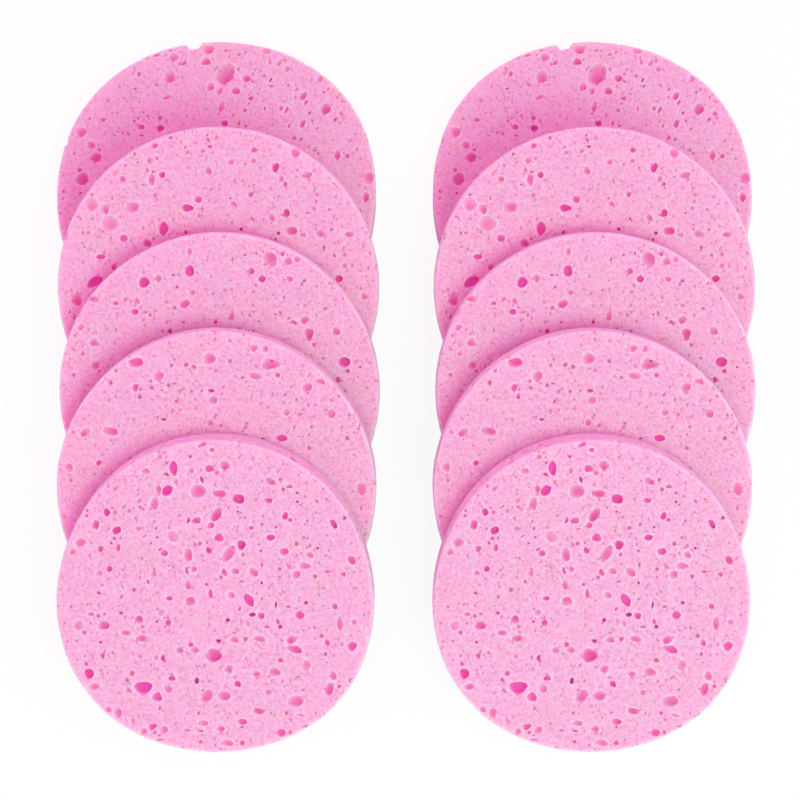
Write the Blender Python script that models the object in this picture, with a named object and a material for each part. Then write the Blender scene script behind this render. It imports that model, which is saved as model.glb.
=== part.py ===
"""Round cellulose facial sponges, ten of them, laid out in two leaning rows of five.

Each sponge is one piece of open-cell cellulose foam, stamped as a disc from a sheet. The first
sponge of a row lies flat. Each later one stands with its front edge on the table and leans back on
the one before it. Metres, +Z up, rows run along Y with the front of the pile towards -Y. The origin
is on the table, at the middle of the two rows.
"""
from math import asin, atan2, cos, hypot, pi, radians, sin

import bmesh
import bpy
from mathutils import Matrix, Vector

# Driving dimensions
SPONGE_DIAMETER = 0.0750
SPONGE_THICKNESS = 0.0080
EDGE_ROUNDING = 0.0008
RESTING_GAP = 0.0003
SPACE_BETWEEN_ROWS = 0.0126

# From the front edge of each sponge to the front edge of the next one, first to last
STEP_TO_SECOND = 0.0230
STEP_TO_THIRD = 0.0248
STEP_TO_FOURTH = 0.0220
STEP_TO_FIFTH = 0.0244
STEPS = (STEP_TO_SECOND, STEP_TO_THIRD, STEP_TO_FOURTH, STEP_TO_FIFTH)

# How wide each sponge has dried, first to last, as a share of the stamped diameter
DRIED_SHARES = (1.035, 1.009, 0.995, 0.981, 0.976)

# How far each sponge lies off its row's line, as shares of the stamped radius: to the right in both
# rows, and outwards from the other row, because the rows open out a little towards the back
RIGHTWARD_SHARES = (0.000, 0.011, 0.018, -0.001, -0.007)
OUTWARD_SHARES = (0.047, 0.008, -0.005, -0.019, -0.030)

# Counts of faces
RIM_SIDES = 48
ROUNDING_STEPS = 2
PORE_SIDES = 8
PORE_RINGS = 4
UNDERSIDE_PORES = 7

# How far a pore's widest ring stands above the face it is cut in, as a share of its depth
PORE_LIFT_SHARE = 0.12

# The largest open pores on each sponge's upper face, largest first. A row is: place to the right
# and to the back, half length and half width, as shares of the radius; the turn of the long side
# in degrees; the depth as a share of the thickness.
PORE_SHARES = (
    (
        (0.060, 0.795, 0.060, 0.048, 30, 0.18),
        (-0.810, 0.145, 0.042, 0.034, 60, 0.28),
        (-0.730, 0.275, 0.037, 0.028, 30, 0.30),
        (-0.285, 0.770, 0.037, 0.028, 60, 0.20),
        (0.680, 0.570, 0.032, 0.028, 90, 0.28),
        (-0.050, 0.925, 0.036, 0.020, 10, 0.20),
        (-0.065, 0.870, 0.028, 0.020, 15, 0.26),
        (-0.255, 0.885, 0.027, 0.020, 0, 0.22),
        (0.190, 0.765, 0.025, 0.023, 0, 0.30),
        (0.125, 0.685, 0.023, 0.022, 0, 0.28),
        (-0.335, 0.455, 0.024, 0.020, 20, 0.34),
        (0.060, 0.485, 0.021, 0.019, 0, 0.34),
        (-0.455, 0.460, 0.021, 0.018, 0, 0.30),
        (-0.300, 0.645, 0.025, 0.015, 20, 0.22),
    ),
    (
        (-0.760, 0.030, 0.050, 0.028, 30, 0.34),
        (-0.330, 0.360, 0.040, 0.027, 95, 0.38),
        (-0.660, 0.390, 0.050, 0.045, 0, 0.12),
        (-0.870, -0.080, 0.038, 0.032, 90, 0.22),
        (0.460, 0.345, 0.035, 0.025, 10, 0.28),
        (-0.180, 0.485, 0.030, 0.024, 0, 0.38),
        (0.365, 0.735, 0.028, 0.020, 90, 0.36),
        (-0.720, 0.185, 0.028, 0.015, 0, 0.34),
        (-0.690, 0.480, 0.030, 0.024, 90, 0.24),
        (-0.430, 0.270, 0.026, 0.024, 0, 0.28),
        (0.560, 0.690, 0.028, 0.021, 20, 0.20),
        (-0.335, 0.690, 0.019, 0.018, 0, 0.38),
        (-0.575, 0.300, 0.024, 0.022, 0, 0.30),
    ),
    (
        (0.320, 0.820, 0.048, 0.038, 110, 0.20),
        (-0.180, 0.750, 0.034, 0.027, 90, 0.36),
        (-0.465, 0.680, 0.034, 0.028, 60, 0.32),
        (0.780, 0.180, 0.035, 0.030, 0, 0.34),
        (0.560, 0.355, 0.035, 0.028, 90, 0.30),
        (-0.210, 0.545, 0.033, 0.022, 20, 0.26),
        (-0.770, 0.575, 0.030, 0.021, 0, 0.20),
        (0.535, 0.445, 0.026, 0.022, 30, 0.20),
        (-0.520, 0.495, 0.024, 0.016, 0, 0.36),
        (0.270, 0.700, 0.022, 0.020, 0, 0.34),
        (0.430, 0.810, 0.026, 0.024, 0, 0.16),
    ),
    (
        (0.350, 0.790, 0.050, 0.034, 0, 0.20),
        (-0.490, 0.800, 0.042, 0.029, 0, 0.30),
        (-0.655, 0.365, 0.040, 0.028, 170, 0.20),
        (0.260, 0.715, 0.044, 0.021, 170, 0.16),
        (-0.030, 0.820, 0.036, 0.034, 0, 0.16),
        (-0.810, 0.360, 0.035, 0.020, 40, 0.20),
        (0.580, 0.640, 0.032, 0.027, 30, 0.24),
        (0.420, 0.322, 0.034, 0.020, 170, 0.36),
        (-0.495, 0.640, 0.025, 0.018, 80, 0.26),
        (-0.350, 0.710, 0.035, 0.028, 60, 0.14),
        (0.250, 0.890, 0.028, 0.020, 40, 0.16),
    ),
    (
        (-0.455, -0.580, 0.054, 0.034, 0, 0.36),
        (0.092, 0.262, 0.058, 0.028, 55, 0.22),
        (-0.010, -0.380, 0.044, 0.042, 0, 0.26),
        (-0.100, 0.655, 0.045, 0.040, 0, 0.22),
        (0.015, 0.505, 0.045, 0.028, 60, 0.28),
        (0.500, -0.340, 0.042, 0.024, 160, 0.30),
        (0.500, -0.665, 0.045, 0.034, 0, 0.18),
        (-0.255, 0.805, 0.044, 0.025, 97, 0.38),
        (0.215, -0.030, 0.042, 0.025, 125, 0.38),
        (-0.295, 0.660, 0.034, 0.029, 40, 0.38),
        (0.155, 0.605, 0.034, 0.030, 0, 0.38),
        (0.710, -0.585, 0.036, 0.025, 75, 0.30),
        (-0.790, -0.490, 0.032, 0.026, 90, 0.32),
        (-0.700, -0.190, 0.034, 0.026, 0, 0.24),
        (0.040, 0.638, 0.038, 0.024, 0, 0.28),
        (0.880, 0.225, 0.030, 0.024, 120, 0.28),
        (0.860, -0.320, 0.030, 0.027, 0, 0.26),
        (-0.370, -0.640, 0.029, 0.028, 0, 0.26),
        (0.170, 0.315, 0.028, 0.024, 90, 0.36),
        (-0.620, 0.410, 0.027, 0.024, 60, 0.34),
    ),
)

# The underside of a sponge carries the pores of this other sponge, turned over, and shallower
UNDERSIDE_FROM = (4, 3, 1, 2, 1)
UNDERSIDE_DEPTH_SHARE = 0.70

# A bite torn out of the first sponge's back rim: place, half length and half width, as shares of
# the radius, and half height as a share of the thickness
RIM_BITE_SHARES = (-0.135, 0.995, 0.050, 0.048, 1.60)

# Foam colours, first sponge to last: the lower ones are a deeper pink
FOAM_COLOURS = (
    (0.90, 0.33, 0.58),
    (0.93, 0.37, 0.62),
    (0.95, 0.40, 0.65),
    (0.96, 0.42, 0.67),
    (0.98, 0.44, 0.69),
)
FOAM_ROUGHNESS = 0.9

stamped_radius = SPONGE_DIAMETER / 2
row_spacing = SPONGE_DIAMETER + SPACE_BETWEEN_ROWS
between_roundings = SPONGE_THICKNESS - 2 * EDGE_ROUNDING


def dried_radius(index):
    return stamped_radius * DRIED_SHARES[index]


def resting_tilts():
    """Tilt of each sponge, from the front edges' places on the table.

    Seen from the side a sponge is a bar with rounded ends. It stops on the front edge of the bar
    below, or on that bar's upper face with its own back edge, whichever it meets first.
    """
    tilts = [0.0]
    clear = 2 * EDGE_ROUNDING + RESTING_GAP
    for index, step in enumerate(STEPS, start=1):
        below = tilts[-1]
        bar = 2 * dried_radius(index) - 2 * EDGE_ROUNDING
        along = step - between_roundings * sin(below)
        above = between_roundings * cos(below)
        on_front_edge = atan2(above, along) + asin(clear / hypot(along, above))
        rise = clear - along * sin(below) + above * cos(below)
        on_face = below + asin(rise / bar)
        tilts.append(max(on_front_edge, on_face))
    return tilts


def front_edge_places(tilts):
    """Y of each sponge's front edge, with the whole pile centred on the origin."""
    overhang = between_roundings * sin(tilts[-1])
    front = sum(STEPS) + overhang
    places = [(front - 2 * dried_radius(0)) / 2]
    for step in STEPS:
        places.append(places[-1] - step)
    return places


def foam_material(name, colour):
    material = bpy.data.materials.new(name)
    material.use_nodes = True
    shader = material.node_tree.nodes["Principled BSDF"]
    shader.inputs["Base Color"].default_value = (*colour, 1.0)
    shader.inputs["Roughness"].default_value = FOAM_ROUGHNESS
    shader.inputs["Metallic"].default_value = 0.0
    material.diffuse_color = (*colour, 1.0)
    return material


def disc_mesh(name, radius):
    """A plain disc standing on its underside, with both rims rounded."""
    bm = bmesh.new()
    lift = Matrix.Translation((0, 0, SPONGE_THICKNESS / 2))
    bmesh.ops.create_cone(bm, cap_ends=True, segments=RIM_SIDES, radius1=radius,
                          radius2=radius, depth=SPONGE_THICKNESS, matrix=lift)
    middle = SPONGE_THICKNESS / 2
    rims = [edge for edge in bm.edges
            if (edge.verts[0].co.z > middle) == (edge.verts[1].co.z > middle)]
    bmesh.ops.bevel(bm, geom=rims, offset=EDGE_ROUNDING, offset_type="OFFSET",
                    segments=ROUNDING_STEPS, profile=0.5, affect="EDGES")
    mesh = bpy.data.meshes.new(name)
    bm.to_mesh(mesh)
    bm.free()
    return mesh


def add_hollow(bm, place, half_sizes, turn):
    """One closed, faceted egg shape that a Boolean takes away."""
    matrix = (Matrix.Translation(Vector(place))
              @ Matrix.Rotation(radians(turn), 4, "Z")
              @ Matrix.Diagonal((*half_sizes, 1)))
    bmesh.ops.create_uvsphere(bm, u_segments=PORE_SIDES, v_segments=PORE_RINGS,
                              radius=1, matrix=matrix)


def hollows_mesh(name, index):
    """Every pore of one sponge, and the bite in the first one's rim, as one cutting mesh."""
    bm = bmesh.new()
    radius = dried_radius(index)
    for right, back, long_side, short_side, turn, deep in PORE_SHARES[index]:
        depth = deep * SPONGE_THICKNESS
        lift = depth * PORE_LIFT_SHARE
        place = (right * radius, back * radius, SPONGE_THICKNESS + lift)
        half_sizes = (long_side * radius, short_side * radius, depth + lift)
        add_hollow(bm, place, half_sizes, turn)
    underside = PORE_SHARES[UNDERSIDE_FROM[index]][:UNDERSIDE_PORES]
    for right, back, long_side, short_side, turn, deep in underside:
        depth = deep * SPONGE_THICKNESS * UNDERSIDE_DEPTH_SHARE
        lift = depth * PORE_LIFT_SHARE
        place = (-right * radius, -back * radius, -lift)
        half_sizes = (long_side * radius, short_side * radius, depth + lift)
        add_hollow(bm, place, half_sizes, turn)
    if index == 0:
        right, back, long_side, short_side, high = RIM_BITE_SHARES
        place = (right * radius, back * radius, SPONGE_THICKNESS / 2)
        half_sizes = (long_side * radius, short_side * radius, high * SPONGE_THICKNESS)
        add_hollow(bm, place, half_sizes, 0)
    mesh = bpy.data.meshes.new(name)
    bm.to_mesh(mesh)
    bm.free()
    return mesh


def sponge_mesh(index):
    """The finished foam disc, its pores cut, as a mesh that both rows share."""
    name = f"sponge_{index + 1}"
    disc = disc_mesh(name + "_blank", dried_radius(index))
    blank = bpy.data.objects.new(name + "_blank", disc)
    hollows = bpy.data.objects.new(name + "_hollows", hollows_mesh(name + "_hollows", index))
    for item in (blank, hollows):
        bpy.context.scene.collection.objects.link(item)
    hollows.hide_render = True
    hollows.display_type = "WIRE"
    cut = blank.modifiers.new("pores", "BOOLEAN")
    cut.operation = "DIFFERENCE"
    cut.solver = "EXACT"
    cut.object = hollows
    evaluated = blank.evaluated_get(bpy.context.evaluated_depsgraph_get())
    mesh = bpy.data.meshes.new_from_object(evaluated)
    mesh.name = name
    for item in (blank, hollows):
        bpy.data.objects.remove(item)
    mesh.materials.clear()
    mesh.materials.append(foam_material(name + "_foam", FOAM_COLOURS[index]))
    mesh.shade_smooth()
    mesh.set_sharp_from_angle(angle=pi / 6)
    return mesh


def build():
    for item in list(bpy.data.objects):
        bpy.data.objects.remove(item)
    tilts = resting_tilts()
    fronts = front_edge_places(tilts)
    meshes = [sponge_mesh(index) for index in range(len(PORE_SHARES))]
    for row_name, row_side in (("left", -1), ("right", 1)):
        row = bpy.data.objects.new(row_name + "_row", None)
        row.location = (row_side * row_spacing / 2, 0, 0)
        bpy.context.scene.collection.objects.link(row)
        for index, mesh in enumerate(meshes):
            sponge = bpy.data.objects.new(f"{row_name}_sponge_{index + 1}", mesh)
            bpy.context.scene.collection.objects.link(sponge)
            sponge.parent = row
            tilt = tilts[index]
            along = Vector((0, cos(tilt), sin(tilt)))
            up = Vector((0, -sin(tilt), cos(tilt)))
            front_rounding = Vector((0, fronts[index] + EDGE_ROUNDING, EDGE_ROUNDING))
            reach = dried_radius(index) - EDGE_ROUNDING
            centre = front_rounding + along * reach - up * EDGE_ROUNDING
            aside = RIGHTWARD_SHARES[index] + row_side * OUTWARD_SHARES[index]
            centre.x = aside * stamped_radius
            sponge.location = centre
            sponge.rotation_euler = (tilt, 0, 0)


build()
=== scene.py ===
"""Ten round cellulose facial sponges in two leaning rows of five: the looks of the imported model."""

from math import asin, atan2, cos, hypot, pi, radians, sin

import bpy
import numpy as np
from mathutils import Matrix, Vector
from mathutils.geometry import delaunay_2d_cdt
from mathutils.kdtree import KDTree


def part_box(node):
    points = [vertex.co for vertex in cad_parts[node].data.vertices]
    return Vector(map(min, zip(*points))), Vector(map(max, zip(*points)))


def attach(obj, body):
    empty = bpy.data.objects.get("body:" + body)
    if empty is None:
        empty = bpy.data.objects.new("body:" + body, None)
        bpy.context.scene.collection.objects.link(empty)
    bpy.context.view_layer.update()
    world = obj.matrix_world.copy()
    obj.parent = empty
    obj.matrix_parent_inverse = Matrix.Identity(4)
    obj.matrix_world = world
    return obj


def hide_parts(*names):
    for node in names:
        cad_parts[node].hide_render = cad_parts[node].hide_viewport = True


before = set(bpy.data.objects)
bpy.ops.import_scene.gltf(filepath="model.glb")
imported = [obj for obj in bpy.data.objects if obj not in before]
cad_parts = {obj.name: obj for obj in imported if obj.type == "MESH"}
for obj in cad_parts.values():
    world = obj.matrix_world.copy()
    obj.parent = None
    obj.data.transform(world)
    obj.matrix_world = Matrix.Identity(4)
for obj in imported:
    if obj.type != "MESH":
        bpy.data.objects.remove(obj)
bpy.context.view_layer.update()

# Camera
# A long lens, nearly overhead, tipped a little towards the back of the pile. Its place and tilt
# were fitted to the back edges and the widths of the sponges in the photograph.
camera_data = bpy.data.cameras.new("camera")
camera_data.lens = 108
camera_data.sensor_width = 36
camera = bpy.data.objects.new("camera", camera_data)
camera.location = (-0.0011, -0.1450, 0.5580)
camera.rotation_euler = (radians(14.36), 0, 0)
bpy.context.scene.collection.objects.link(camera)
bpy.context.scene.camera = camera

# Foam of every sponge
# Regenerated cellulose, foamed with salt crystals that are washed out again, dyed pink right
# through. The open cells are cut by the blade, so the faces are a fine crust broken by round and
# oval pores.


class Field:
    """A shader socket that can be written in sums, as if it were a number."""

    def __init__(self, nodes, socket):
        self.nodes = nodes
        self.socket = socket

    def maths(self, operation, first, second, clamp=False):
        node = self.nodes.add("ShaderNodeMath", {"operation": operation, "use_clamp": clamp},
                              {0: first, 1: second})
        return node["Value"]

    def __add__(self, other):
        return self.maths("ADD", self, other)

    def __radd__(self, other):
        return self.maths("ADD", other, self)

    def __sub__(self, other):
        return self.maths("SUBTRACT", self, other)

    def __rsub__(self, other):
        return self.maths("SUBTRACT", other, self)

    def __mul__(self, other):
        return self.maths("MULTIPLY", self, other)

    def __rmul__(self, other):
        return self.maths("MULTIPLY", other, self)

    def __gt__(self, other):
        return self.maths("GREATER_THAN", self, other)

    def rise(self, start, end):
        """0 at start, 1 at end, straight between them."""
        return self.maths("MULTIPLY", self - start, 1 / (end - start), clamp=True)


class Nodes:
    """The nodes of one material, or of the world."""

    def __init__(self, owner):
        owner.use_nodes = True
        self.tree = owner.node_tree

    def add(self, kind, settings, inputs):
        """Makes one node and returns its outputs by name."""
        node = self.tree.nodes.new(kind)
        for name, value in settings.items():
            setattr(node, name, value)
        for name, value in inputs.items():
            self.feed(node.inputs[name], value)
        return {output.name: Field(self, output) for output in node.outputs if output.enabled}

    def feed(self, socket, value):
        if isinstance(value, Field):
            self.tree.links.new(value.socket, socket)
        elif socket.type == "RGBA":
            socket.default_value = (*value, 1.0)
        else:
            socket.default_value = value

    def mix(self, share, first, second):
        """Two colours mixed. A Mix node's colours are its inputs 6 and 7."""
        node = self.add("ShaderNodeMix", {"data_type": "RGBA"}, {0: share, 6: first, 7: second})
        return node["Result"]


# The face and pale colours are the foam's own. The rim colour is a painted highlight along the disc's
# rim and also paints the paler pore lips. The speck and pore colours are painted shade in pits and
# pores.
FACE_COLOUR = (0.980, 0.350, 0.600)
PALE_COLOUR = (0.990, 0.565, 0.780)
RIM_HIGHLIGHT_AND_LIP_COLOUR = (0.990, 0.640, 0.830)
SPECK_SHADE_COLOUR = (0.640, 0.180, 0.350)
SHALLOW_PORE_SHADE = (0.980, 0.250, 0.540)
MIDDLING_PORE_SHADE = (0.950, 0.160, 0.480)
DEEP_PORE_SHADE = (0.990, 0.120, 0.570)
DARK_PORE_SHADE = (0.600, 0.055, 0.240)

# The strength of painted pore shade at which each pore shade colour begins and is reached
PORE_SHADE_COLOURS = (
    (0.0, 0.4, SHALLOW_PORE_SHADE),
    (0.4, 0.7, MIDDLING_PORE_SHADE),
    (0.7, 0.9, DEEP_PORE_SHADE),
    (0.9, 1.25, DARK_PORE_SHADE),
)

# How many clouds, grains and specks go to a millimetre, roughly
CLOUD_SCALE = 0.25
GRAIN_SCALE = 1.3
SPECK_SCALE = 1.5
NOISE_DETAIL = 3.0

# How grain and clouds share the change from the face colour to the pale one
GRAIN_RANGE = (0.32, 0.68)
GRAIN_SHARE = 0.85
CLOUD_RANGE = (0.3, 0.7)
CLOUD_SHARE = 0.15

# A speck is painted shade in a pit too small to model. Its reach and fade beside its cell, the
# share of cells without one, and its strength
SPECK_REACH = 0.40
SPECK_FADE = 0.30
SPECKLESS = 0.35
SPECK_LEAST = 0.06
SPECK_MORE = 0.32

# Heights of the grain and of the specks, beside the bump's distance in metres
GRAIN_HEIGHT = 0.05
SPECK_DEPTH = 0.10
BUMP_DISTANCE = 0.001


def foam_material():
    material = bpy.data.materials.new("cellulose_foam")
    nodes = Nodes(material)
    shader = nodes.tree.nodes["Principled BSDF"]
    place = nodes.add("ShaderNodeAttribute", {"attribute_name": "foam_place"}, {})["Vector"]
    # The mesh holds the painted pink shade in pores (pore), their painted grey shade (pinprick), and
    # the painted rim highlight with the paler pore lips (rim)
    pore = nodes.add("ShaderNodeAttribute", {"attribute_name": "pore"}, {})["Fac"]
    grey = nodes.add("ShaderNodeAttribute", {"attribute_name": "pinprick"}, {})["Fac"]
    rim = nodes.add("ShaderNodeAttribute", {"attribute_name": "rim"}, {})["Fac"]
    cloud_inputs = {"Vector": place, "Scale": CLOUD_SCALE, "Detail": NOISE_DETAIL}
    clouds = nodes.add("ShaderNodeTexNoise", {}, cloud_inputs)["Fac"]
    grain_inputs = {"Vector": place, "Scale": GRAIN_SCALE, "Detail": NOISE_DETAIL}
    grain = nodes.add("ShaderNodeTexNoise", {}, grain_inputs)["Fac"]
    cells = nodes.add("ShaderNodeTexVoronoi", {}, {"Vector": place, "Scale": SPECK_SCALE})
    chosen = nodes.add("ShaderNodeSeparateColor", {}, {"Color": cells["Color"]})
    speck = (SPECK_REACH - cells["Distance"]).rise(0.0, SPECK_FADE) * (chosen["Red"] > SPECKLESS)
    paleness = grain.rise(*GRAIN_RANGE) * GRAIN_SHARE + clouds.rise(*CLOUD_RANGE) * CLOUD_SHARE
    colour = nodes.mix(paleness, FACE_COLOUR, PALE_COLOUR)
    # A painted highlight along the disc's rim, and the paler pore lips
    colour = nodes.mix(rim, colour, RIM_HIGHLIGHT_AND_LIP_COLOUR)
    # Specks: painted shade in pits too small to model
    colour = nodes.mix(speck * (SPECK_LEAST + chosen["Green"] * SPECK_MORE), colour, SPECK_SHADE_COLOUR)
    # Painted shade inside the pores, deeper as their tint grows
    for start, end, pore_shade in PORE_SHADE_COLOURS:
        colour = nodes.mix(pore.rise(start, end), colour, pore_shade)
    # Painted grey shade in small pores and pinpricks
    colour = nodes.mix(grey, colour, SPECK_SHADE_COLOUR)
    nodes.feed(shader.inputs["Base Color"], colour)
    height = grain * GRAIN_HEIGHT - speck * SPECK_DEPTH
    bump = nodes.add("ShaderNodeBump", {}, {"Height": height, "Distance": BUMP_DISTANCE})["Normal"]
    nodes.feed(shader.inputs["Normal"], bump)
    shader.inputs["Roughness"].default_value = 0.95
    shader.inputs["Specular IOR Level"].default_value = 0.2
    shader.inputs["Subsurface Weight"].default_value = 1.0
    shader.inputs["Subsurface Radius"].default_value = (1.0, 0.12, 0.32)
    shader.inputs["Subsurface Scale"].default_value = 0.0025
    return material


foam = foam_material()

# Lengths in mm: the foam, its rims, which are rounder here than in the CAD, and the spacing of the
# points between the pores on either side
THICKNESS = 8.0
CAD_ROUNDING = 0.8
ROUNDING = 0.9
FACE_GRID = 0.62
UNDER_GRID = 0.95

# Points round the seam between the two sides, and round each ring of a rim
SEAM_POINTS = 400
RIM_POINTS = 440

MM_IN_A_METRE = 1000
THOUSANDTHS = 1000
TINY = 1e-9

# Pores are read to their dark parts, and their outlines lie a little wider
PORE_GROWTH = 1.12

# For each kind of pore: how strongly its inside is painted with pink and grey shade, how deep it
# is beside its half width, and the share of that width over which the painted shade comes in
KINDS = {
    "faint": (0.36, 0.10, 0.30, 0.70),
    "shallow": (0.56, 0.12, 0.55, 0.70),
    "light": (0.74, 0.08, 0.75, 0.80),
    "middling": (0.84, 0.15, 0.90, 0.55),
    "deep": (0.92, 0.0, 1.20, 0.20),
    "dark": (1.20, 0.10, 0.90, 0.25),
    "pinprick": (0.15, 0.75, 0.45, 0.60),
}

# Columns of a pore's row that are read by number
LENGTH_COLUMN = 2
TURN_COLUMN = 4
PINK_SHADE_COLUMN = 5
GREY_SHADE_COLUMN = 6


def listed_pores(table, radius, spread, shift):
    """The listed pores of one face: place, half sizes and turn, tint and depth, in mm.

    Spread and shift seat the whole reading on the face, which is seen at a slant.
    """
    rows = []
    for kind, pores in table.items():
        tint, grey, deep, soft = KINDS[kind]
        for right, back, long_side, short_side, turn in pores:
            right = right * spread[0] + shift[0]
            back = back * spread[1] + shift[1]
            grown = (long_side * PORE_GROWTH, short_side * PORE_GROWTH)
            sizes = [value * radius / THOUSANDTHS for value in (right, back, *grown)]
            rows.append((*sizes, radians(turn), tint, grey, deep * sizes[3], soft))
    return np.array(rows)


# Strewn pores: how far the short ones outnumber the long, their width beside their length, the
# strength of their painted shade beside that of a listed pore, and the way that they turn
SHORT_BIAS = 1.4
WIDTH_SHARES = (0.50, 1.0)
PORE_SHADE_SHARES = (0.5, 0.9)
DRAWN_WAY = radians(75)
TURN_SPREAD = 0.6


def strewn_pores(rng, reach, kind_shares, count, sizes):
    """Pores strewn at random over a disc, from the first to the last half length in sizes.

    Most lie with their long side front to back, the way the foam was drawn.
    """
    out = reach * np.sqrt(rng.random(count))
    angle = rng.random(count) * 2 * pi
    small, large = sizes
    length = small * (large / small) ** (rng.random(count) ** SHORT_BIAS)
    width = length * rng.uniform(*WIDTH_SHARES, count)
    kinds = np.array(list(KINDS.values()))[rng.choice(len(KINDS), count, p=kind_shares)]
    kinds[:, :2] *= rng.uniform(*PORE_SHADE_SHARES, (count, 1))
    kinds[:, 2] *= width
    turn = DRAWN_WAY + rng.normal(0, TURN_SPREAD, count)
    return np.column_stack((out * np.cos(angle), out * np.sin(angle), length, width, turn, kinds))


# How far, in mm, a pore's neighbours are looked for
NEIGHBOUR_REACH = 4.0


def clear_of(pores, others, spread):
    """The pores whose centres are clear of the others."""
    tree = KDTree(len(others))
    for number, row in enumerate(others):
        tree.insert((row[0], row[1], 0), number)
    tree.balance()
    lengths = others[:, LENGTH_COLUMN]
    kept = []
    for row in pores:
        near = tree.find_range((row[0], row[1], 0), NEIGHBOUR_REACH)
        own = row[LENGTH_COLUMN]
        kept.append(all(far > spread * (lengths[number] + own) for _, number, far in near))
    return pores[np.array(kept, dtype=bool)]


# The half length in mm under which a pore is dulled with painted grey shade, how much shorter a
# fully dulled one is, the grey shade that it gains, the most grey shade it may have and the pink
# shade that it loses. A pore is dark from the last value up.
DULL_LENGTH = 0.75
DULL_RANGE = 0.35
GREY_SHADE_GAIN = 0.85
MOST_GREY_SHADE = 0.95
PINK_SHADE_LOSS = 0.5
DARK_TINT = 1


def dulled(pores):
    """The pores, with the small ones turned from pink to grey.

    Hardly any light comes back out of a small pore. The dark ones are left as they are.
    """
    pores = pores.copy()
    pink = pores[:, PINK_SHADE_COLUMN]
    small = np.clip((DULL_LENGTH - pores[:, LENGTH_COLUMN]) / DULL_RANGE, 0, 1) * (pink < DARK_TINT)
    pores[:, GREY_SHADE_COLUMN] = np.minimum(pores[:, GREY_SHADE_COLUMN] + GREY_SHADE_GAIN * small * pink, MOST_GREY_SHADE)
    pores[:, PINK_SHADE_COLUMN] *= 1 - PINK_SHADE_LOSS * small
    return pores


# An outline's two, three and four waves beside its width, and where a pore dips: the usual way,
# how far it strays from that, and how far off centre
LOBE_WAVES = np.arange(2, 5)
LOBE_SIZES = (0.060, 0.050, 0.030)
# A pore's painted shade is strongest around its dip
DIP_WAY = radians(-50)
DIP_SPREAD = 0.7
DIP_SHARES = (0.40, 0.85)


def lobes(rng, pores):
    """What keeps a pore from being a plain bowl: its outline's waves, and where it dips.

    Most pores run deeper towards the front right, and their painted shade is strongest there,
    where a bowl lit from the front right is in shade.
    """
    count = len(pores)
    size = rng.normal(0, LOBE_SIZES, (count, 3))
    phase = rng.random((count, 3)) * 2 * pi
    way = DIP_WAY + rng.normal(0, DIP_SPREAD, count) - pores[:, TURN_COLUMN]
    far = rng.uniform(*DIP_SHARES, count)
    return size, phase, np.column_stack((far * np.cos(way), far * np.sin(way)))


def outline(size, phase, u, v):
    """How far out the pore's outline lies in the direction of each point."""
    return 1 + (size * np.cos(np.arctan2(v, u)[:, None] * LOBE_WAVES + phase)).sum(1)


def share_out(u, v, dip):
    """0 where the pore dips lowest and 1 on its outline, however far off centre the dip is."""
    from_dip = (u - dip[0], v - dip[1])
    along = from_dip[0] * dip[0] + from_dip[1] * dip[1]
    rest = 1 - dip[0] ** 2 - dip[1] ** 2
    return (along + np.sqrt(along ** 2 + rest * (from_dip[0] ** 2 + from_dip[1] ** 2))) / rest


def wrap(flat, radius, underside):
    """From the flat map of one side to places and normals on the disc.

    The map of the upper side runs over the rounding, down the wall and half round the lower rim.
    """
    out = np.hypot(flat[:, 0], flat[:, 1])
    way = flat / np.maximum(out, TINY)[:, None]
    quarter = pi / 2 * ROUNDING
    face = radius - ROUNDING
    wall = THICKNESS - 2 * ROUNDING
    bend = np.clip((out - face) / ROUNDING, 0, pi / 2)
    down = np.clip(out - face - quarter, 0, wall)
    tuck = np.clip((out - face - quarter - wall) / ROUNDING, 0, pi / 2)
    across = np.minimum(out, face) + ROUNDING * (np.sin(bend) - 1 + np.cos(tuck)) * (bend > 0)
    height = THICKNESS / 2 - ROUNDING * (1 - np.cos(bend)) - down - ROUNDING * np.sin(tuck)
    lean = bend + tuck
    place = np.column_stack((way * across[:, None], height))
    normal = np.column_stack((way * np.sin(lean)[:, None], np.cos(lean)))
    if underside:
        place[:, 2] *= -1
        normal[:, 2] *= -1
    return place, normal


def ring(out, count, shift=0.0):
    angle = (np.arange(count) + shift) * 2 * pi / count
    return np.column_stack((out * np.cos(angle), out * np.sin(angle)))


# The step between the rows of a triangular grid, and how far its points stray, beside its spacing
ROW_STEP = 0.866
JITTER = 0.3


def grid(rng, reach, spacing):
    """Jittered points on a triangular grid inside a disc."""
    rows = int(reach / spacing / ROW_STEP) + 1
    columns = int(reach / spacing) + 1
    y, x = np.mgrid[-rows:rows + 1, -columns:columns + 1].astype(float)
    points = np.column_stack(((x + (y % 2) / 2).ravel(), (y * ROW_STEP).ravel())) * spacing
    points += rng.uniform(-JITTER, JITTER, points.shape) * spacing
    return points[np.hypot(points[:, 0], points[:, 1]) < reach - spacing * 0.5]


# Rings of points in a pore, from its outline to its lowest place: how far out each one lies, and
# its share of the points on the outline. A longer pore has more of them. Half lengths are in mm.
LARGE_PORE = 0.8
LARGE_RINGS = ((1.0, 1.0), (0.93, 1.0), (0.72, 0.7), (0.38, 0.4))
MEDIUM_PORE = 0.45
MEDIUM_RINGS = ((1.0, 1.0), (0.88, 1.0), (0.5, 0.5))
SMALL_RINGS = ((1.0, 1.0), (0.55, 0.5))

# The step in mm between the points on an outline, the fewest and most of them, the fewest on any
# other ring, and how far in mm they keep from the seam
RING_STEP = 0.20
OUTLINE_POINTS = (8, 40)
FEWEST_POINTS = 4
SEAM_MARGIN = 0.12


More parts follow.
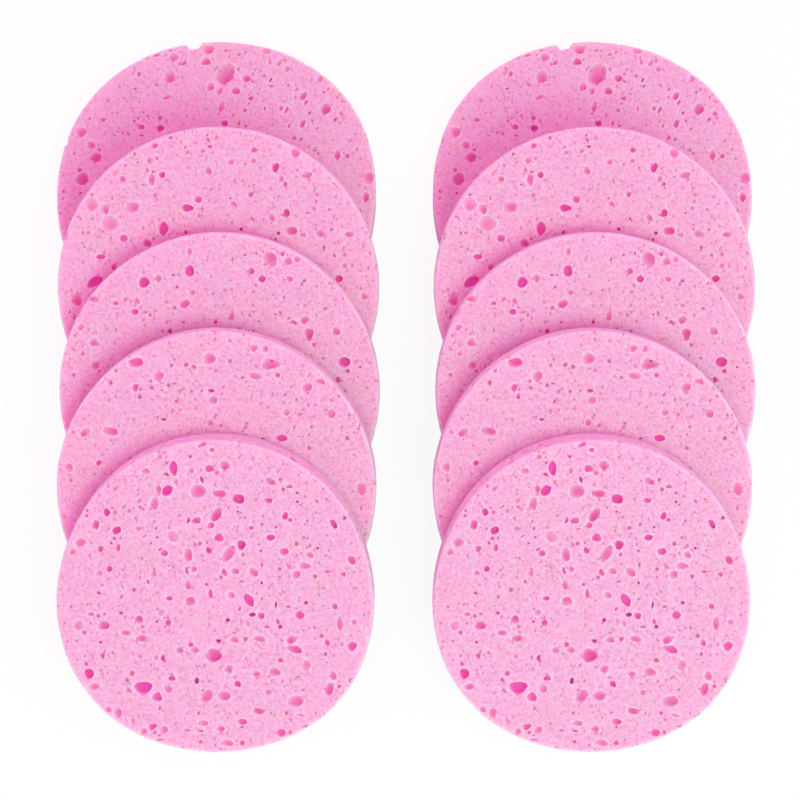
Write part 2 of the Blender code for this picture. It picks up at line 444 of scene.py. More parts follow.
def rings_of(pores, size, phase, dip, reach):
    """Points on and inside each pore's outline."""
    points = []
    for row, lobe, start, lowest in zip(pores, size, phase, dip):
        right, back, long_side, short_side, turn = row[:5]
        around = int(np.clip(2 * pi * long_side / RING_STEP, *OUTLINE_POINTS))
        if long_side > LARGE_PORE:
            steps = LARGE_RINGS
        elif long_side > MEDIUM_PORE:
            steps = MEDIUM_RINGS
        else:
            steps = SMALL_RINGS
        for share, part in steps:
            count = max(FEWEST_POINTS, int(around * part))
            angle = np.arange(count) * 2 * pi / count
            u = share * np.cos(angle) + (1 - share) * lowest[0]
            v = share * np.sin(angle) + (1 - share) * lowest[1]
            reach_out = outline(lobe, start, u, v)
            u *= long_side * reach_out
            v *= short_side * reach_out
            points.append(np.column_stack((right + u * cos(turn) - v * sin(turn),
                                           back + u * sin(turn) + v * cos(turn))))
    points = np.vstack(points)
    return points[np.hypot(points[:, 0], points[:, 1]) < reach - SEAM_MARGIN]


def tree_of(points):
    tree = KDTree(len(points))
    for number, (x, y) in enumerate(points):
        tree.insert((x, y, 0), number)
    tree.balance()
    return tree


# How far, in mm, the grid's points keep from the rings, and how near two points are one
RING_MARGIN = 0.20
MERGE_DISTANCE = 1e-7

# A pore's hollow: how far past its half length it is looked for, how far out the bowl ends, the
# powers for its flat floor and its steep wall, and the most that hollows may add up to, in mm
PORE_REACH = 1.35
BOWL_END = 0.999
FLOOR_POWER = 2.6
WALL_POWER = 0.55
DEEPEST = 3.4

# How the strength of painted pore shade varies from pore to pore, and the most it may add up to
PORE_SHADE_STRENGTHS = (0.90, 1.10)
MOST_PORE_SHADE = 1.3

# Pale edges: a pore's lip, beside its half width, on pores from one half length in mm up, fully on
# those that are longer by the range, and the disc's rim, where the paleness is a painted highlight,
# in mm, each with its paleness
LIP_WIDTH = 0.08
LIP_LENGTH = 0.4
LIP_RANGE = 0.5
LIP_PALENESS = 0.8
RIM_HIGHLIGHT_WIDTH = 0.5
RIM_HIGHLIGHT_PALENESS = 0.6


def side(rng, radius, pores, spacing, underside):
    """One side of the disc: flat points, places, triangles and looks at each point."""
    quarter = pi / 2 * ROUNDING
    face = radius - ROUNDING
    reach = face + quarter / 2
    edges = [face + quarter * share for share in (0.0, 0.25)]
    if not underside:
        wall_end = face + quarter + THICKNESS - 2 * ROUNDING
        reach = wall_end + quarter / 2
        edges = [face + quarter * share for share in (0.0, 0.25, 0.5, 0.75, 1.0)]
        edges += [wall_end, wall_end + quarter * 0.25]
    pores = dulled(pores)
    size, phase, dip = lobes(rng, pores)
    rings = rings_of(pores, size, phase, dip, reach)
    rims = [ring(out, RIM_POINTS, number / 2) for number, out in enumerate(edges)]
    loose = np.vstack([grid(rng, reach, spacing)] + rims)
    near_rings = tree_of(rings)
    far = np.array([near_rings.find((x, y, 0))[2] for x, y in loose])
    flat = np.vstack((ring(reach, SEAM_POINTS), rings, loose[far > RING_MARGIN]))
    place = wrap(flat, radius, underside)[0]
    centre_normal = wrap(pores[:, :2], radius, underside)[1]
    shade_strength = rng.uniform(*PORE_SHADE_STRENGTHS, len(pores))
    tint = np.zeros(len(flat))
    grey = np.zeros(len(flat))
    lip = np.zeros(len(flat))
    sink = np.zeros((len(flat), 3))
    tree = tree_of(flat)
    for number, row in enumerate(pores):
        right, back, long_side, short_side, turn, pink, grey_shade, deep, soft = row
        found = tree.find_range((right, back, 0), long_side * PORE_REACH)
        near = np.array([point for _, point, _ in found])
        near = near[near >= SEAM_POINTS]
        if not len(near):
            continue
        off = flat[near] - (right, back)
        u = (off[:, 0] * cos(turn) + off[:, 1] * sin(turn)) / long_side
        v = (off[:, 1] * cos(turn) - off[:, 0] * sin(turn)) / short_side
        reach_out = outline(size[number], phase[number], u, v)
        share = share_out(u / reach_out, v / reach_out, dip[number])
        inside = share < BOWL_END
        bowl = np.where(inside, (1 - np.minimum(share, 1) ** FLOOR_POWER) ** WALL_POWER, 0)
        sink[near] -= (deep * bowl)[:, None] * centre_normal[number]
        # Painted shade: each pore's inside is tinted pink and grey, fading out towards its outline
        # from its dip
        within = np.clip((1 - share) / soft, 0, 1)
        tint[near] += pink * shade_strength[number] * within
        grey[near] += grey_shade * within
        on_lip = np.clip(1 - abs(share - 1.0) / LIP_WIDTH, 0, 1)
        lip[near] += on_lip * np.clip((long_side - LIP_LENGTH) / LIP_RANGE, 0, 1)
    length = np.linalg.norm(sink, axis=1)
    sink *= (np.minimum(length, DEEPEST) / np.maximum(length, TINY))[:, None]
    place += sink
    tint = np.clip(tint, 0, MOST_PORE_SHADE)
    # The disc's rim gets a painted highlight, and the lips of the larger pores are paler
    from_rim = np.hypot(flat[:, 0], flat[:, 1]) - face - quarter / 2
    on_rim_highlight = np.exp(-(from_rim / RIM_HIGHLIGHT_WIDTH) ** 2)
    pale_lip_and_rim_highlight = np.maximum(RIM_HIGHLIGHT_PALENESS * on_rim_highlight, LIP_PALENESS * np.clip(lip, 0, 1))
    points = [Vector(point) for point in flat]
    made = delaunay_2d_cdt(points, [], [], 0, MERGE_DISTANCE, True)
    source = np.array([origins[0] for origins in made[3]])
    triangles = source[np.array(made[2])]
    looks = np.column_stack((tint, np.clip(grey, 0, 1), pale_lip_and_rim_highlight))
    return flat / reach, place, triangles, looks


# The power by which a change to the outline dies away towards the middle
EDGE_POWER = 4


def stamped(place, radius, cut, slant):
    """Gives the outline the shape it was stamped to, and leans the wall at the back.

    Cut is how far, in mm, the outline swings in and out: once round it, twice and so on, starting
    from the front. Slant is how far the lower rim stands out beyond the upper one at the back.
    """
    angle = np.arctan2(place[:, 0], -place[:, 1])
    out = np.hypot(place[:, 0], place[:, 1])
    swing = sum(size * np.cos(waves * angle) for waves, size in enumerate(cut))
    low = 0.5 - place[:, 2] / THICKNESS
    lean = -slant * (1 - low) * np.clip(-np.cos(angle), 0, 1)
    inwards = (out / radius) ** EDGE_POWER
    place[:, :2] *= (1 + (swing + lean) * inwards / np.maximum(out, 1))[:, None]
    return place


# What drying does, in mm: waves round the outline, by number and size, dips in the faces, by
# length and size, and the roughness of the crust
OUTLINE_WAVES = ((2, 0.10), (3, 0.08), (5, 0.06), (9, 0.04), (17, 0.03), (31, 0.02))
FACE_DIPS = ((26.0, 0.10), (13.0, 0.06), (6.0, 0.04))
CROSS_WAVES = 1.3
CRUST = 0.012


def uneven(rng, place, radius):
    """Draws the outline in by a few tenths and lets the faces dip a little, as foam dries."""
    angle = np.arctan2(place[:, 1], place[:, 0])
    inward = np.zeros(len(place))
    for waves, size in OUTLINE_WAVES:
        inward += size * (1 + np.sin(angle * waves + rng.random() * 2 * pi)) / 2
    out = np.hypot(place[:, 0], place[:, 1])
    place[:, :2] *= (1 - inward * (out / radius) ** EDGE_POWER / np.maximum(out, 1))[:, None]
    dip = np.zeros(len(place))
    for length, size in FACE_DIPS:
        way = rng.random() * pi
        along = place[:, 0] * cos(way) + place[:, 1] * sin(way)
        beside = place[:, 1] * cos(way) - place[:, 0] * sin(way)
        swell = 2 + np.sin(2 * pi * along / length) + np.sin(2 * pi * beside / length * CROSS_WAVES)
        dip += size * swell / 4
    place[:, 2] *= 1 - dip / (THICKNESS / 2)
    place += rng.normal(0, CRUST, place.shape)
    return place


# The slopes at the two ends of a bite, as shares of its width, and how many times its own depth it
# is felt inwards and fades over
BITE_LEFT = 0.18
BITE_RIGHT = 0.22
BITE_FELT = 4
BITE_FADE = 3.5


def bitten(place, radius, bite):
    """Draws the back rim in where a crumb of foam has come off."""
    left, right, deep = (value * radius / THOUSANDTHS for value in bite)
    share = (place[:, 0] - left) / (right - left)
    gap = np.clip(share / BITE_LEFT, 0, 1) * np.clip((1 - share) / BITE_RIGHT, 0, 1)
    edge = np.sqrt(np.maximum(radius ** 2 - place[:, 0] ** 2, 0))
    near_edge = np.clip((place[:, 1] - edge + BITE_FELT * deep) / (BITE_FADE * deep), 0, 1)
    place[:, 1] -= deep * gap * near_edge
    return place


# Shares of the kinds, in their order above, among the larger and among the small strewn pores
LARGER_SHARES = (0.12, 0.32, 0.24, 0.22, 0.10, 0.0, 0.0)
SMALL_SHARES = (0.12, 0.14, 0.08, 0.13, 0.02, 0.04, 0.47)

# How many pores are strewn on each side, and their least and greatest half lengths in mm
UNDER_LARGER = (170, (0.5, 2.1))
UPPER_LARGER = (380, (0.5, 1.4))
UPPER_SMALL = (2200, (0.18, 0.55))
UNDER_SMALL = (600, (0.18, 0.50))

# Where they lie, in mm: past the radius below, short of the lower rim above, small ones further
# down, and how far past the rim the wall's own begin
UNDER_MARGIN = 0.5
WALL_MARGIN = 1.5
SMALL_MARGIN = 0.8
WALL_START = 0.3

# How much of the next sponge's radius hides pores, and the room between pores beside their lengths
COVERED = 0.97
LARGER_ROOM = 0.8
SMALL_ROOM = 0.55

# The size and the middle of each side's map in the bake, and the step in the grain between sponges
UPPER_MAP = (0.345, 0.35)
UNDER_MAP = (0.22, 0.775)
GRAIN_STEP = 20.0
FIRST_SEED = 40


def sponge_mesh(index, radius, table, hidden_reach, spread, shift, cut, slant, bite):
    """One sponge as vertex places, triangles and attributes, in mm, with its centre at zero.

    Hidden_reach is how far in front of its centre the next sponge's lies, in radii, or 0 for none.
    """
    rng = np.random.default_rng(FIRST_SEED + index)
    listed = listed_pores(table, radius, spread, shift)
    under = strewn_pores(rng, radius + UNDER_MARGIN, LARGER_SHARES, *UNDER_LARGER)
    wall_reach = radius + THICKNESS - WALL_MARGIN
    strewn = strewn_pores(rng, wall_reach, LARGER_SHARES, *UPPER_LARGER)
    out = np.hypot(strewn[:, 0], strewn[:, 1])
    next_one = np.hypot(strewn[:, 0], strewn[:, 1] + hidden_reach * radius)
    hidden = (next_one < radius * COVERED) & (hidden_reach > 0)
    strewn = strewn[(out > radius + WALL_START) | hidden]
    upper = np.vstack((listed, clear_of(strewn, listed, LARGER_ROOM)))
    small = strewn_pores(rng, wall_reach + SMALL_MARGIN, SMALL_SHARES, *UPPER_SMALL)
    upper = np.vstack((upper, clear_of(small, upper, SMALL_ROOM)))
    small = strewn_pores(rng, radius + UNDER_MARGIN, SMALL_SHARES, *UNDER_SMALL)
    under = np.vstack((under, clear_of(small, under, SMALL_ROOM)))
    map_u, place_u, faces_u, looks_u = side(rng, radius, upper, FACE_GRID, False)
    map_v, place_v, faces_v, looks_v = side(rng, radius, under, UNDER_GRID, True)
    place_v[:SEAM_POINTS] = place_u[:SEAM_POINTS]
    count = len(place_u)
    beyond_seam = np.arange(SEAM_POINTS, len(place_v)) + count - SEAM_POINTS
    renumber = np.concatenate((np.arange(SEAM_POINTS), beyond_seam))
    place = np.vstack((place_u, place_v[SEAM_POINTS:]))
    faces = np.vstack((faces_u, renumber[faces_v][:, ::-1]))
    looks = np.vstack((looks_u, looks_v[SEAM_POINTS:]))
    uv = np.vstack((map_u[faces_u.ravel()] * UPPER_MAP[0] + UPPER_MAP[1],
                    map_v[faces_v[:, ::-1].ravel()] * UNDER_MAP[0] + UNDER_MAP[1]))
    foam_place = place + (0, 0, GRAIN_STEP * index)
    place = uneven(rng, place, radius)
    place = stamped(place, radius, cut, slant)
    if bite:
        place = bitten(place, radius, bite)
    return place, faces, looks, uv, foam_place


SHARP_ANGLE = radians(60)


def put(name, shape):
    """Makes the piece that stands for one CAD sponge, in that sponge's place."""
    place, faces, looks, uv, foam_place = shape
    low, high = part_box(name)
    rounding = CAD_ROUNDING / MM_IN_A_METRE
    across = high.x - low.x - 2 * rounding
    thick = THICKNESS / MM_IN_A_METRE - 2 * rounding
    tilt = asin((high.z - low.z - 2 * rounding) / hypot(across, thick)) - atan2(thick, across)
    matrix = Matrix.Translation((low + high) / 2) @ Matrix.Rotation(tilt, 4, "X")
    mesh = bpy.data.meshes.new(name + "_foam")
    mesh.from_pydata(place / MM_IN_A_METRE, [], faces)
    mesh.transform(matrix)
    # The painted pore shade, the painted grey shade and the painted rim highlight with paler pore
    # lips
    for label, values in zip(("pore", "pinprick", "rim"), looks.T):
        layer = mesh.attributes.new(label, "FLOAT", "POINT")
        layer.data.foreach_set("value", np.ascontiguousarray(values))
    mesh.attributes.new("foam_place", "FLOAT_VECTOR", "POINT").data.foreach_set(
        "vector", foam_place.ravel())
    mesh.uv_layers.new(name="OFBake").data.foreach_set("uv", uv.ravel())
    mesh.materials.append(foam)
    mesh.shade_smooth()
    mesh.set_sharp_from_angle(angle=SHARP_ANGLE)
    piece = bpy.data.objects.new(name + "_foam", mesh)
    bpy.context.scene.collection.objects.link(piece)
    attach(piece, name)
    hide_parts(name)


def put_pair(index, table, hidden_reach, spread, shift, cut=(0,), slant=0.0, bite=None):
    """Makes one sponge's shape and puts it in both rows, which are alike in the photograph."""
    low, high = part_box(f"left_sponge_{index}")
    radius = (high.x - low.x) / 2 * MM_IN_A_METRE
    shape = sponge_mesh(index, radius, table, hidden_reach, spread, shift, cut, slant, bite)
    for row in ("left", "right"):
        put(f"{row}_sponge_{index}", shape)


# The pores below are listed by kind. A row is the place to the right and to the back, the half
# length and the half width, in thousandths of the sponge's radius, and the turn of the long side in
# degrees.

# First sponge of each row
# A disc stamped from a sheet of foam, lying flat on the table at the back. Only its back third
# shows past the second one, and a crumb of foam has come off its back rim.
put_pair(1, {
    "faint": (
        (310, 930, 30, 20, 0),),
    "shallow": (
        (955, 150, 40, 30, 90), (-760, 350, 25, 25, 0), (-660, 620, 15, 15, 0),
        (332, 863, 19, 12, 90), (394, 858, 28, 13, 50), (438, 818, 22, 15, 80),
        (640, 754, 26, 18, 60), (688, 687, 16, 10, 60), (25, 682, 26, 18, 60),
        (-432, 881, 14, 8, 20)),
    "light": (
        (60, 795, 64, 54, 40), (-285, 770, 42, 31, 75), (-48, 948, 38, 28, 10),
        (-262, 895, 27, 24, 0), (-300, 645, 25, 15, 20), (-32, 712, 30, 21, 75),
        (38, 588, 35, 17, 75), (772, 542, 18, 15, 80), (-820, 430, 30, 30, 0)),
    "middling": (
        (-810, 145, 42, 34, 60), (-730, 275, 37, 28, 30), (680, 570, 34, 30, 90),
        (-65, 870, 28, 24, 15), (190, 765, 26, 24, 0), (125, 685, 26, 24, 0),
        (-455, 460, 21, 18, 0), (-200, 860, 19, 15, 60), (220, 640, 17, 16, 0),
        (-475, 785, 17, 13, 60), (185, 565, 12, 12, 0), (150, 488, 17, 10, 80),
        (-340, 520, 16, 16, 0), (-450, 410, 14, 8, 0), (-690, 505, 14, 14, 0),
        (-530, 420, 10, 10, 0), (540, 650, 27, 19, 60), (540, 482, 26, 18, 75),
        (557, 610, 18, 11, 60), (630, 450, 14, 7, 60), (820, 285, 16, 16, 0),
        (760, 290, 30, 18, 90), (880, 325, 8, 8, 0), (940, 35, 30, 20, 90),
        (408, 578, 15, 12, 60), (440, 565, 30, 9, 70), (346, 714, 12, 8, 60),
        (447, 718, 10, 9, 0), (500, 691, 17, 8, 60), (306, 574, 14, 7, 80),
        (460, 470, 18, 8, 70), (746, 637, 12, 7, 80), (192, 470, 11, 9, 0),
        (-366, 903, 26, 10, 20), (56, 939, 11, 9, 0), (179, 926, 9, 8, 0),
        (490, 395, 14, 14, 0), (-830, 200, 14, 14, 0), (620, 320, 10, 10, 0),
        (640, 300, 10, 10, 0)),
    "deep": (
        (-335, 455, 24, 20, 20), (60, 485, 21, 19, 0)),
    "dark": (
        (-500, 695, 8, 8, 0), (340, 750, 18, 7, 60), (740, 505, 14, 7, 60),
        (-820, 60, 10, 10, 0), (495, 642, 10, 5, 80), (583, 547, 14, 7, 50),
        (262, 664, 8, 6, 0), (139, 822, 9, 8, 0), (354, 475, 9, 5, 90)),
}, hidden_reach=0.66, spread=(1.014, 1.085), shift=(-18, -83),
    cut=(0.42, 0, 0, 0, -0.42), bite=(-208, -108, 37))

# Second sponge of each row
# A disc of the same foam. It stands on its front edge in front of the first one and leans back on
# it, held by nothing but its own weight.
put_pair(2, {
    "faint": (
        (-660, 390, 50, 45, 0), (-770, 510, 40, 40, 0)),
    "shallow": (
        (-520, 490, 35, 35, 0), (-380, 565, 16, 16, 0), (-410, 780, 20, 20, 0),
        (-180, 830, 15, 15, 0), (230, 780, 16, 16, 0), (90, 770, 18, 18, 0),
        (400, 665, 18, 18, 0), (490, 830, 30, 30, 0), (100, 510, 18, 18, 0),
        (340, 425, 20, 20, 0), (530, 320, 15, 15, 0), (640, 330, 25, 25, 0),
        (910, -60, 20, 20, 0), (620, 570, 14, 14, 0), (0, 920, 15, 15, 0),
        (600, 485, 15, 15, 0), (790, 200, 15, 15, 0), (790, 130, 15, 15, 0)),
    "light": (
        (-870, -80, 38, 32, 90), (-690, 480, 30, 24, 90), (560, 690, 28, 21, 20),
        (-400, 660, 35, 20, 90), (-580, 665, 20, 20, 0), (-50, 715, 25, 20, 90),
        (825, 325, 30, 18, 0)),
    "middling": (
        (460, 345, 35, 25, 10), (-430, 270, 26, 24, 0), (-575, 300, 24, 22, 0),
        (-115, 540, 22, 22, 0), (-635, 120, 22, 20, 0), (-380, 870, 18, 18, 0),
        (-280, 920, 12, 12, 0), (235, 845, 18, 18, 0), (210, 570, 16, 16, 0),
        (560, 455, 12, 7, 0), (710, 355, 10, 10, 0)),
    "deep": (
        (-760, 30, 50, 28, 30), (-330, 360, 40, 27, 95), (-180, 485, 30, 24, 0),
        (365, 735, 28, 20, 90), (-720, 185, 28, 15, 0), (-335, 690, 19, 18, 0),
        (430, 455, 25, 20, 90), (755, 50, 22, 22, 0)),
    "dark": (
        (150, 355, 12, 12, 0), (220, 420, 8, 8, 0), (380, 330, 12, 12, 0),
        (-40, 865, 14, 8, 0), (-190, 335, 12, 12, 0), (-390, 710, 8, 8, 0)),
}, hidden_reach=0.68, spread=(1.0, 1.0), shift=(-6, 12))

# Third sponge of each row
# A disc of the same foam. It leans on the second one in the same way, and its back third shows
# past the fourth one.
put_pair(3, {
    "shallow": (
        (430, 810, 26, 24, 0), (-375, 705, 25, 20, 90), (490, 825, 20, 20, 0),
        (440, 700, 20, 20, 0), (-580, 575, 15, 15, 0), (-510, 560, 20, 20, 0),
        (-180, 870, 25, 15, 90), (-165, 615, 18, 18, 0), (380, 485, 20, 12, 90),
        (-780, 305, 25, 25, 0), (-860, 400, 20, 20, 0), (-850, 235, 16, 16, 0),
        (-650, 300, 12, 12, 0), (920, 20, 12, 12, 0)),
    "light": (
        (320, 820, 48, 38, 110), (-770, 575, 30, 21, 0), (535, 445, 26, 22, 30),
        (80, 470, 30, 18, 90), (730, 375, 25, 25, 0), (-770, 160, 25, 25, 0)),
    "middling": (
        (560, 355, 35, 28, 90), (-210, 545, 33, 22, 20), (205, 750, 20, 20, 0),
        (-640, 550, 18, 13, 0), (460, 430, 18, 12, 0), (435, 455, 9, 9, 0),
        (590, 290, 12, 12, 0)),
    "deep": (
        (-180, 750, 34, 27, 90), (-465, 680, 34, 28, 60), (780, 180, 35, 30, 0),
        (-520, 495, 24, 16, 0), (270, 700, 22, 20, 0), (800, 125, 14, 14, 0),
        (740, 70, 20, 14, 90)),
    "dark": (
        (-260, 650, 10, 10, 0), (-280, 725, 12, 7, 0), (165, 852, 8, 8, 0),
        (235, 860, 8, 8, 0), (-20, 430, 12, 12, 0), (-220, 430, 12, 7, 0),
        (-305, 375, 14, 14, 0), (880, 150, 8, 8, 0), (650, 205, 8, 8, 0)),
}, hidden_reach=0.62, spread=(0.997, 0.993), shift=(-1, 15))

# Fourth sponge of each row
# A disc of the same foam. It leans on the third one in the same way, and its back third shows
# past the fifth one.
put_pair(4, {
    "shallow": (
        (260, 715, 44, 21, 170), (-30, 820, 36, 34, 0), (-350, 710, 35, 28, 60),
        (250, 890, 28, 20, 40), (320, 885, 20, 20, 0), (660, 685, 30, 18, 0),
        (-10, 560, 30, 22, 0), (-220, 615, 15, 15, 0), (-920, 135, 25, 25, 0),
        (190, 390, 15, 15, 0), (450, 485, 20, 20, 0), (530, 470, 15, 15, 0),
        (730, 480, 28, 28, 0), (920, 0, 40, 30, 90), (-250, 820, 12, 12, 0)),
    "light": (
        (350, 790, 50, 34, 0), (-655, 365, 40, 28, 170), (-810, 360, 35, 20, 40),
        (580, 640, 32, 27, 30), (-30, 420, 20, 20, 0)),
    "middling": (
        (-490, 800, 42, 29, 0), (-495, 640, 25, 18, 80), (-240, 555, 12, 12, 0),
        (-650, 675, 15, 15, 0), (-390, 640, 12, 12, 0), (-255, 665, 14, 8, 0),
        (-175, 785, 14, 14, 0), (-130, 770, 14, 14, 0), (830, 320, 15, 15, 0),
        (590, 260, 12, 12, 0), (-470, 580, 12, 12, 0), (395, 720, 15, 15, 0)),
    "deep": (
        (420, 322, 34, 20, 170), (-730, 165, 16, 16, 0)),
    "dark": (
        (360, 805, 10, 8, 0), (-20, 620, 18, 13, 0), (-320, 440, 15, 10, 0),
        (300, 320, 15, 6, 0)),
}, hidden_reach=0.66, spread=(0.991, 0.992), shift=(-6, 11))

# Fifth sponge of each row
# A disc of the same foam, leaning on the fourth one, nearest the front. It shows its whole upper
# face, and its wall stands out at the back.
put_pair(5, {
    "faint": (
        (-255, 370, 35, 35, 0), (-340, -110, 20, 20, 0), (-860, -190, 30, 30, 0),
        (570, -440, 30, 30, 0)),
    "shallow": (
        (-375, 580, 40, 25, 80), (-435, 790, 28, 18, -10), (-345, 885, 18, 18, 0),
        (-240, 715, 16, 16, 0), (-140, 790, 20, 15, 90), (-630, 685, 14, 14, 0),
        (-475, 600, 15, 15, 0), (-540, 535, 14, 14, 0), (-860, 340, 35, 30, 0),
        (-910, 280, 22, 22, 0), (-730, 140, 17, 17, 0), (-385, 135, 18, 18, 0),
        (-130, 165, 18, 18, 0), (-480, 420, 16, 16, 0), (20, 775, 18, 18, 0),
        (580, 628, 12, 12, 0), (190, 490, 12, 12, 0), (605, 255, 25, 20, 0),
        (570, 185, 40, 20, 0), (515, 130, 25, 25, 0), (465, 180, 15, 15, 0),
        (100, 0, 25, 20, 0), (-645, -360, 12, 12, 0), (-550, -590, 13, 13, 0),
        (-300, -590, 25, 25, 0), (-375, -390, 14, 14, 0), (-475, -385, 14, 14, 0),
        (-130, -345, 26, 20, 0), (-225, -345, 22, 22, 0), (-455, -855, 20, 20, 0),
        (-330, -850, 25, 25, 0), (-185, -855, 20, 12, 0), (-80, -810, 30, 18, 0),
        (-350, -910, 30, 10, 0), (-670, -710, 20, 20, 0), (880, -170, 18, 18, 0),
        (120, -280, 28, 20, 0), (85, -465, 25, 25, 0), (70, -935, 38, 20, 0),
        (330, -610, 18, 18, 0), (530, -750, 28, 10, -10)),
    "light": (
        (92, 262, 58, 28, 55), (-100, 655, 45, 40, 0), (500, -665, 45, 34, 0),
        (-165, 255, 42, 26, 95), (-165, 65, 30, 20, 95), (70, 825, 33, 27, 0),
        (355, 720, 32, 22, -20), (130, 150, 25, 20, 0), (245, 145, 35, 22, -50),
        (-155, -40, 30, 27, 0), (-785, -120, 20, 14, 0), (-560, -235, 30, 18, 0),
        (-465, -270, 30, 21, 0), (-760, -570, 30, 20, 0), (-55, -635, 45, 30, 60),
        (-610, -735, 30, 22, 90), (480, -280, 27, 27, 0), (790, -175, 40, 20, 95),
        (280, -275, 38, 18, -15), (370, -485, 36, 25, 0), (260, -495, 25, 16, 0),
        (55, -635, 36, 32, 0), (735, -505, 24, 24, 0), (30, -845, 25, 20, 0)),
    "middling": (
        (500, -340, 42, 24, 160), (710, -585, 36, 25, 75), (15, 505, 45, 28, 60),
        (40, 638, 38, 24, 0), (880, 225, 30, 24, 120), (860, -320, 30, 27, 0),
        (-370, -640, 29, 28, 0), (-10, -380, 44, 42, 0), (-700, -190, 34, 26, 0),
        (-350, 670, 27, 16, 90), (-25, 800, 27, 24, 0), (-10, 925, 18, 14, 0),
        (-70, 960, 30, 14, 30), (-760, 450, 30, 24, 70), (-635, 360, 13, 13, 0),
        (-610, 300, 24, 16, 90), (-725, 295, 20, 20, 0), (-510, 35, 14, 14, 0),
        (-420, 85, 16, 10, 100), (-340, 290, 20, 8, 40), (-315, 265, 22, 20, 0),
        (-90, 325, 13, 13, 0), (-25, 10, 30, 14, 90), (-20, 437, 21, 18, 0),
        (-110, 470, 28, 20, 0), (-90, 415, 20, 6, 0), (-360, 365, 10, 10, 0),
        (-400, 328, 9, 9, 0), (-440, 370, 20, 6, 30), (345, 597, 24, 18, 0),
        (440, 670, 14, 14, 0), (485, 690, 20, 12, 0), (530, 650, 11, 11, 0),
        (480, 475, 17, 12, 0), (235, 422, 17, 12, 0), (180, 255, 16, 10, 60),
        (30, 360, 28, 25, 0), (60, 140, 24, 16, -60), (40, 113, 12, 12, 0),
        (440, 275, 28, 22, 0), (520, 325, 14, 14, 0), (570, 365, 10, 10, 0),
        (410, 165, 12, 12, 0), (820, 133, 16, 16, 0), (715, 150, 20, 10, 0),
        (635, 120, 14, 14, 0), (-480, -155, 26, 23, 0), (-735, -130, 12, 12, 0),
        (-695, -117, 9, 9, 0), (-825, -235, 13, 13, 0), (-710, -380, 17, 17, 0),
        (-810, -430, 13, 13, 0), (-525, -490, 17, 17, 0), (-555, -530, 14, 14, 0),
        (-155, -310, 16, 16, 0), (-400, -825, 24, 20, 0), (-100, -930, 12, 12, 0),
        (290, -130, 22, 22, 0), (155, -85, 18, 9, 80), (395, -165, 20, 12, 110),
        (460, -72, 17, 9, 0), (535, -125, 27, 25, 0), (760, -70, 18, 18, 0),
        (670, -255, 14, 14, 0), (705, -297, 22, 16, 90), (190, -275, 15, 15, 0),
        (410, -410, 20, 14, 0), (270, -730, 34, 20, -10), (165, -800, 30, 20, 0),
        (410, -865, 27, 25, 0), (465, -860, 13, 13, 0), (165, -935, 16, 16, 0)),
    "deep": (
        (-455, -580, 54, 34, 0), (-255, 805, 44, 25, 97), (215, -30, 42, 25, 125),
        (-295, 660, 34, 29, 40), (155, 605, 34, 30, 0), (170, 315, 28, 24, 90),
        (-620, 410, 27, 24, 60), (-790, -490, 32, 26, 90), (-685, 530, 22, 21, 0),
        (-665, 167, 18, 18, 0), (-35, 280, 17, 17, 0), (450, 500, 24, 17, 60),
        (355, 362, 26, 18, 0), (765, 455, 30, 18, -65), (-285, -20, 19, 14, 0),
        (-295, -170, 19, 16, 0), (140, -560, 19, 19, 0), (-275, -523, 22, 16, 0)),
    "dark": (
        (-300, 765, 18, 10, 150), (-75, 730, 22, 10, 110), (-655, 330, 10, 10, 0),
        (-735, 15, 14, 9, -30), (-175, 155, 22, 8, 105), (-50, 70, 9, 9, 0),
        (-160, 470, 19, 10, 80), (530, 592, 10, 10, 0), (150, 525, 9, 9, 0),
        (300, 445, 9, 9, 0), (390, 430, 9, 9, 0), (655, 298, 10, 10, 0),
        (295, 78, 10, 10, 0), (-365, -165, 9, 9, 0), (-590, -112, 11, 11, 0),
        (-720, -295, 10, 10, 0), (-120, -540, 20, 14, 90), (-330, -395, 20, 12, 70),
        (20, -290, 14, 14, 0), (-95, -860, 18, 7, 0), (235, -123, 20, 13, 0),
        (80, -155, 13, 13, 0), (385, -60, 25, 7, 85), (410, -198, 13, 13, 0),
        (575, -47, 12, 12, 0), (165, -835, 12, 6, 0)),
}, hidden_reach=0.0, spread=(0.984, 1.003), shift=(-4, 5),
    cut=(-0.05, 0.45, 0.25, -0.40, -0.20), slant=0.7)

# Floor and light
# A white table under soft studio light: one large lamp above the front right, the rest from all
# round. Shadows among the sponges are pink, so the fill is pink and the lamp is green, and the
# two come to about white where both of them reach.
FLOOR_REACH = 3
FLOOR_GLOW = 0.90
FILL_COLOUR = (0.98, 0.62, 0.90)
WHITE = (1.0, 1.0, 1.0)

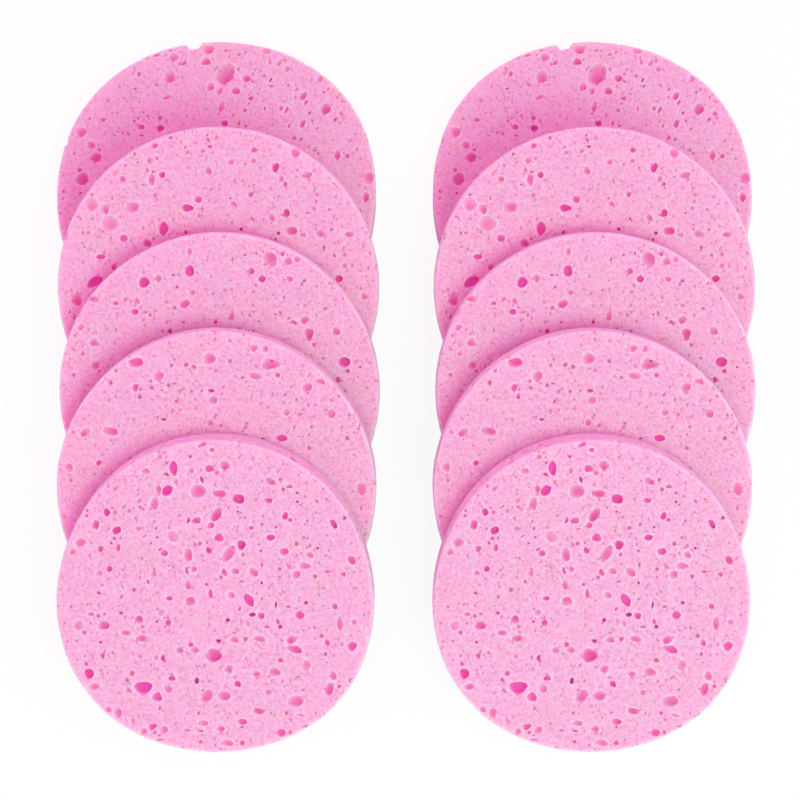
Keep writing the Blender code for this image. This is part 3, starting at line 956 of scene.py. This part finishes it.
corner_signs = ((-1, -1), (1, -1), (1, 1), (-1, 1))
floor_corners = [(x * FLOOR_REACH, y * FLOOR_REACH, 0) for x, y in corner_signs]
floor_data = bpy.data.meshes.new("floor")
floor_data.from_pydata(floor_corners, [], [(0, 1, 2, 3)])
white_table = bpy.data.materials.new("white_table")
floor_nodes = Nodes(white_table)
paint = floor_nodes.tree.nodes["Principled BSDF"]
paint.inputs["Base Color"].default_value = (0.95, 0.95, 0.95, 1)
paint.inputs["Roughness"].default_value = 0.9


def seen_ray(nodes):
    """1 where a ray comes straight from the camera, or by way of gloss or glass."""
    path = nodes.add("ShaderNodeLightPath", {}, {})
    seen = path["Is Camera Ray"] + path["Is Glossy Ray"] + path["Is Transmission Ray"]
    return seen.rise(0.0, 1.0)


glow = floor_nodes.add("ShaderNodeEmission", {}, {"Color": WHITE})["Emission"]
blend_inputs = {0: seen_ray(floor_nodes) * FLOOR_GLOW, 2: glow}
blend = floor_nodes.add("ShaderNodeMixShader", {}, blend_inputs)["Shader"]
floor_nodes.tree.links.new(paint.outputs["BSDF"], blend.socket.node.inputs[1])
floor_nodes.feed(floor_nodes.tree.nodes["Material Output"].inputs["Surface"], blend)
floor_data.materials.append(white_table)
floor = bpy.data.objects.new("floor", floor_data)
bpy.context.scene.collection.objects.link(floor)

lamp_data = bpy.data.lights.new("lamp", "AREA")
lamp_data.shape = "DISK"
lamp_data.size = 0.45
lamp_data.color = (0.18, 1.0, 0.45)
lamp_data.energy = 5.2
lamp = bpy.data.objects.new("lamp", lamp_data)
lamp.location = (0.287, -0.497, 0.819)
lamp.rotation_euler = (-lamp.location).to_track_quat("-Z", "Y").to_euler()
bpy.context.scene.collection.objects.link(lamp)

world = bpy.data.worlds.new("studio")
world_nodes = Nodes(world)
tone = world_nodes.mix(seen_ray(world_nodes), FILL_COLOUR, WHITE)
world_nodes.feed(world_nodes.tree.nodes["Background"].inputs["Color"], tone)
bpy.context.scene.world = world
bpy.context.scene.view_settings.view_transform = "Standard"
